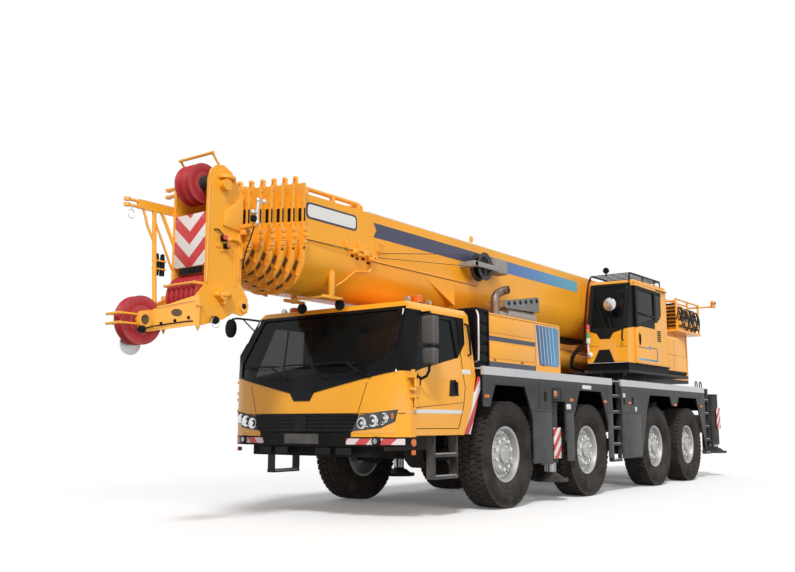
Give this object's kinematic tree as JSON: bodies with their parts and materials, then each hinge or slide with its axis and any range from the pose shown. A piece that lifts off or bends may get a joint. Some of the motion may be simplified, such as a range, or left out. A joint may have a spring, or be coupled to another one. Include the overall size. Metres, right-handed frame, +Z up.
{
  "type": "mobile crane",
  "caption": "All-terrain mobile crane with a long telescopic boom over a wheeled carrier, a driver's cab, an operator's cab on the turntable and folding outriggers.",
  "frame": {"origin": "on the ground, under the middle of the crane's bounding box", "axes": "+X forward along the boom, +Y to the vehicle's left, +Z up"},
  "size_m": [14.669, 3.12, 3.806],
  "materials": {
    "yellow_paint": "satin",
    "grey_paint": "satin",
    "black_paint": "satin",
    "tyre_rubber": "matte",
    "bright_metal": "satin",
    "rod_chrome": "polished",
    "red_nylon": "satin",
    "window_glass": "clear",
    "lamp_lens": "gloss",
    "seat_fabric": "matte"
  },
  "bodies": {
    "carrier": {"chassis_frame": "grey_paint", "axle_beams": "grey_paint", "deck_plates": "bright_metal", "side_skirts": "grey_paint", "ladders": "grey_paint", "carrier_cab": "yellow_paint", "carrier_cab_glass": "window_glass", "cab_interior": "seat_fabric", "front_bumper": "yellow_paint", "lamps": "lamp_lens", "engine_hoods": "yellow_paint", "engine_block": "grey_paint", "exhaust_stack": "bright_metal"},
    "cab_door_left": {"cab_door_left": "yellow_paint"},
    "cab_door_right": {"cab_door_right": "yellow_paint"},
    "knuckle_1_left": {"knuckle_1_left": "grey_paint"},
    "wheel_1_left": {"wheel_1_left": "tyre_rubber"},
    "knuckle_1_right": {"knuckle_1_right": "grey_paint"},
    "wheel_1_right": {"wheel_1_right": "tyre_rubber"},
    "knuckle_2_left": {"knuckle_2_left": "grey_paint"},
    "wheel_2_left": {"wheel_2_left": "tyre_rubber"},
    "knuckle_2_right": {"knuckle_2_right": "grey_paint"},
    "wheel_2_right": {"wheel_2_right": "tyre_rubber"},
    "knuckle_3_left": {"knuckle_3_left": "grey_paint"},
    "wheel_3_left": {"wheel_3_left": "tyre_rubber"},
    "knuckle_3_right": {"knuckle_3_right": "grey_paint"},
    "wheel_3_right": {"wheel_3_right": "tyre_rubber"},
    "knuckle_4_left": {"knuckle_4_left": "grey_paint"},
    "wheel_4_left": {"wheel_4_left": "tyre_rubber"},
    "knuckle_4_right": {"knuckle_4_right": "grey_paint"},
    "wheel_4_right": {"wheel_4_right": "tyre_rubber"},
    "beam_front_left": {"beam_front_left": "grey_paint"},
    "jack_front_left": {"jack_front_left": "bright_metal"},
    "beam_front_right": {"beam_front_right": "grey_paint"},
    "jack_front_right": {"jack_front_right": "bright_metal"},
    "beam_rear_left": {"beam_rear_left": "grey_paint"},
    "jack_rear_left": {"jack_rear_left": "bright_metal"},
    "beam_rear_right": {"beam_rear_right": "grey_paint"},
    "jack_rear_right": {"jack_rear_right": "bright_metal"},
    "superstructure": {"turntable": "yellow_paint", "side_covers": "yellow_paint", "rear_frame": "yellow_paint", "operator_cab": "yellow_paint", "operator_cab_glass": "window_glass"},
    "operator_cab_door": {"operator_cab_door": "yellow_paint"},
    "winch": {"winch_drum": "grey_paint"},
    "lift_barrel": {"lift_cylinder_barrel": "yellow_paint"},
    "lift_rod": {"lift_cylinder_rod": "rod_chrome"},
    "boom": {"boom_base": "yellow_paint", "cable_reel": "black_paint", "stowed_jib": "grey_paint"},
    "tele_1": {"tele_1": "yellow_paint"},
    "tele_2": {"tele_2": "yellow_paint"},
    "tele_3": {"tele_3": "yellow_paint"},
    "tele_4": {"tele_4": "yellow_paint"},
    "tele_5": {"tele_5": "yellow_paint"},
    "boom_head": {"boom_head": "yellow_paint"},
    "top_sheave": {"top_sheave": "red_nylon"},
    "lower_sheaves": {"lower_sheaves": "red_nylon"},
    "rooster_sheave": {"rooster_sheave": "red_nylon"}
  },
  "joints": [
    {"name": "cab_door_left_hinge", "type": "hinge", "parent": "carrier", "child": "cab_door_left", "pos_m": [4.4195, 1.353, 1.3], "axis": [0, 0, -1], "range_deg": [0, 70]},
    {"name": "cab_door_right_hinge", "type": "hinge", "parent": "carrier", "child": "cab_door_right", "pos_m": [4.4195, -1.353, 1.3], "axis": [0, 0, 1], "range_deg": [0, 70]},
    {"name": "steer_1_left", "type": "hinge", "parent": "carrier", "child": "knuckle_1_left", "pos_m": [2.3655, 0.93, 0.667], "axis": [0, 0, 1], "range_deg": [-24, 24]},
    {"name": "spin_1_left", "type": "hinge", "parent": "knuckle_1_left", "child": "wheel_1_left", "pos_m": [2.3655, 1.15, 0.667], "axis": [0, 1, 0], "continuous": true},
    {"name": "steer_1_right", "type": "hinge", "parent": "carrier", "child": "knuckle_1_right", "pos_m": [2.3655, -0.93, 0.667], "axis": [0, 0, 1], "range_deg": [-24, 24]},
    {"name": "spin_1_right", "type": "hinge", "parent": "knuckle_1_right", "child": "wheel_1_right", "pos_m": [2.3655, -1.15, 0.667], "axis": [0, 1, 0], "continuous": true},
    {"name": "steer_2_left", "type": "hinge", "parent": "carrier", "child": "knuckle_2_left", "pos_m": [-0.0345, 0.93, 0.667], "axis": [0, 0, 1], "range_deg": [-9.6, 9.6]},
    {"name": "spin_2_left", "type": "hinge", "parent": "knuckle_2_left", "child": "wheel_2_left", "pos_m": [-0.0345, 1.15, 0.667], "axis": [0, 1, 0], "continuous": true},
    {"name": "steer_2_right", "type": "hinge", "parent": "carrier", "child": "knuckle_2_right", "pos_m": [-0.0345, -0.93, 0.667], "axis": [0, 0, 1], "range_deg": [-9.6, 9.6]},
    {"name": "spin_2_right", "type": "hinge", "parent": "knuckle_2_right", "child": "wheel_2_right", "pos_m": [-0.0345, -1.15, 0.667], "axis": [0, 1, 0], "continuous": true},
    {"name": "steer_3_left", "type": "hinge", "parent": "carrier", "child": "knuckle_3_left", "pos_m": [-2.7795, 0.93, 0.667], "axis": [0, 0, 1], "range_deg": [-6.86, 6.86]},
    {"name": "spin_3_left", "type": "hinge", "parent": "knuckle_3_left", "child": "wheel_3_left", "pos_m": [-2.7795, 1.15, 0.667], "axis": [0, 1, 0], "continuous": true},
    {"name": "steer_3_right", "type": "hinge", "parent": "carrier", "child": "knuckle_3_right", "pos_m": [-2.7795, -0.93, 0.667], "axis": [0, 0, 1], "range_deg": [-6.86, 6.86]},
    {"name": "spin_3_right", "type": "hinge", "parent": "knuckle_3_right", "child": "wheel_3_right", "pos_m": [-2.7795, -1.15, 0.667], "axis": [0, 1, 0], "continuous": true},
    {"name": "steer_4_left", "type": "hinge", "parent": "carrier", "child": "knuckle_4_left", "pos_m": [-4.4295, 0.93, 0.667], "axis": [0, 0, 1], "range_deg": [-16.8, 16.8]},
    {"name": "spin_4_left", "type": "hinge", "parent": "knuckle_4_left", "child": "wheel_4_left", "pos_m": [-4.4295, 1.15, 0.667], "axis": [0, 1, 0], "continuous": true},
    {"name": "steer_4_right", "type": "hinge", "parent": "carrier", "child": "knuckle_4_right", "pos_m": [-4.4295, -0.93, 0.667], "axis": [0, 0, 1], "range_deg": [-16.8, 16.8]},
    {"name": "spin_4_right", "type": "hinge", "parent": "knuckle_4_right", "child": "wheel_4_right", "pos_m": [-4.4295, -1.15, 0.667], "axis": [0, 1, 0], "continuous": true},
    {"name": "beam_front_left_slide", "type": "slide", "parent": "carrier", "child": "beam_front_left", "axis": [0, 1, 0], "range_m": [0, 2]},
    {"name": "jack_front_left_slide", "type": "slide", "parent": "beam_front_left", "child": "jack_front_left", "axis": [0, 0, -1], "range_m": [0, 0.42]},
    {"name": "beam_front_right_slide", "type": "slide", "parent": "carrier", "child": "beam_front_right", "axis": [0, -1, 0], "range_m": [0, 2]},
    {"name": "jack_front_right_slide", "type": "slide", "parent": "beam_front_right", "child": "jack_front_right", "axis": [0, 0, -1], "range_m": [0, 0.42]},
    {"name": "beam_rear_left_slide", "type": "slide", "parent": "carrier", "child": "beam_rear_left", "axis": [0, 1, 0], "range_m": [0, 2]},
    {"name": "jack_rear_left_slide", "type": "slide", "parent": "beam_rear_left", "child": "jack_rear_left", "axis": [0, 0, -1], "range_m": [0, 0.6]},
    {"name": "beam_rear_right_slide", "type": "slide", "parent": "carrier", "child": "beam_rear_right", "axis": [0, -1, 0], "range_m": [0, 2]},
    {"name": "jack_rear_right_slide", "type": "slide", "parent": "beam_rear_right", "child": "jack_rear_right", "axis": [0, 0, -1], "range_m": [0, 0.6]},
    {"name": "slew", "type": "hinge", "parent": "carrier", "child": "superstructure", "pos_m": [-3.2345, 0, 1.8], "axis": [0, 0, 1], "continuous": true},
    {"name": "operator_door_slide", "type": "slide", "parent": "superstructure", "child": "operator_cab_door", "axis": [-1, 0, 0], "range_m": [0, 0.62]},
    {"name": "winch_spin", "type": "hinge", "parent": "superstructure", "child": "winch", "pos_m": [-6.5645, 0, 2.42], "axis": [0, 1, 0], "continuous": true},
    {"name": "boom_luff", "type": "hinge", "parent": "superstructure", "child": "boom", "pos_m": [-5.5345, 0, 3.1], "axis": [0, -1, 0], "range_deg": [0, 82]},
    {"name": "lift_tilt", "type": "hinge", "parent": "superstructure", "child": "lift_barrel", "pos_m": [-3.2345, 0, 2.15], "axis": [0, -1, 0], "range_deg": [0, 92.57]},
    {"name": "lift_extend", "type": "slide", "parent": "lift_barrel", "child": "lift_rod", "axis": [0.9996, 0, 0.0295], "range_m": [0, 3.0899]},
    {"name": "telescope_1", "type": "slide", "parent": "boom", "child": "tele_1", "axis": [1, 0, 0], "range_m": [0, 8.8]},
    {"name": "telescope_2", "type": "slide", "parent": "tele_1", "child": "tele_2", "axis": [1, 0, 0], "range_m": [0, 8.8]},
    {"name": "telescope_3", "type": "slide", "parent": "tele_2", "child": "tele_3", "axis": [1, 0, 0], "range_m": [0, 8.8]},
    {"name": "telescope_4", "type": "slide", "parent": "tele_3", "child": "tele_4", "axis": [1, 0, 0], "range_m": [0, 8.8]},
    {"name": "telescope_5", "type": "slide", "parent": "tele_4", "child": "tele_5", "axis": [1, 0, 0], "range_m": [0, 8.8]},
    {"name": "telescope_6", "type": "slide", "parent": "tele_5", "child": "boom_head", "axis": [1, 0, 0], "range_m": [0, 8.8]},
    {"name": "top_sheave_spin", "type": "hinge", "parent": "boom_head", "child": "top_sheave", "pos_m": [6.3955, 0, 3.495], "axis": [0, 1, 0], "continuous": true},
    {"name": "lower_sheaves_spin", "type": "hinge", "parent": "boom_head", "child": "lower_sheaves", "pos_m": [6.3255, 0, 2.32], "axis": [0, 1, 0], "continuous": true},
    {"name": "rooster_sheave_spin", "type": "hinge", "parent": "boom_head", "child": "rooster_sheave", "pos_m": [7.0555, 0, 2.02], "axis": [0, 1, 0], "continuous": true}
  ],
  "couplings": [
    {"joint": "steer_1_right", "follows": "steer_1_left", "ratio": 1},
    {"joint": "steer_2_left", "follows": "steer_1_left", "ratio": 0.4},
    {"joint": "steer_2_right", "follows": "steer_1_left", "ratio": 0.4},
    {"joint": "steer_3_left", "follows": "steer_1_left", "ratio": -0.286},
    {"joint": "steer_3_right", "follows": "steer_1_left", "ratio": -0.286},
    {"joint": "steer_4_left", "follows": "steer_1_left", "ratio": -0.7},
    {"joint": "steer_4_right", "follows": "steer_1_left", "ratio": -0.7},
    {"joint": "lift_tilt", "follows": "boom_luff", "ratio": 1.1288},
    {"joint": "lift_extend", "follows": "boom_luff", "m_per_rad": 2.1586},
    {"joint": "telescope_2", "follows": "telescope_1", "ratio": 1},
    {"joint": "telescope_3", "follows": "telescope_1", "ratio": 1},
    {"joint": "telescope_4", "follows": "telescope_1", "ratio": 1},
    {"joint": "telescope_5", "follows": "telescope_1", "ratio": 1},
    {"joint": "telescope_6", "follows": "telescope_1", "ratio": 1}
  ]
}
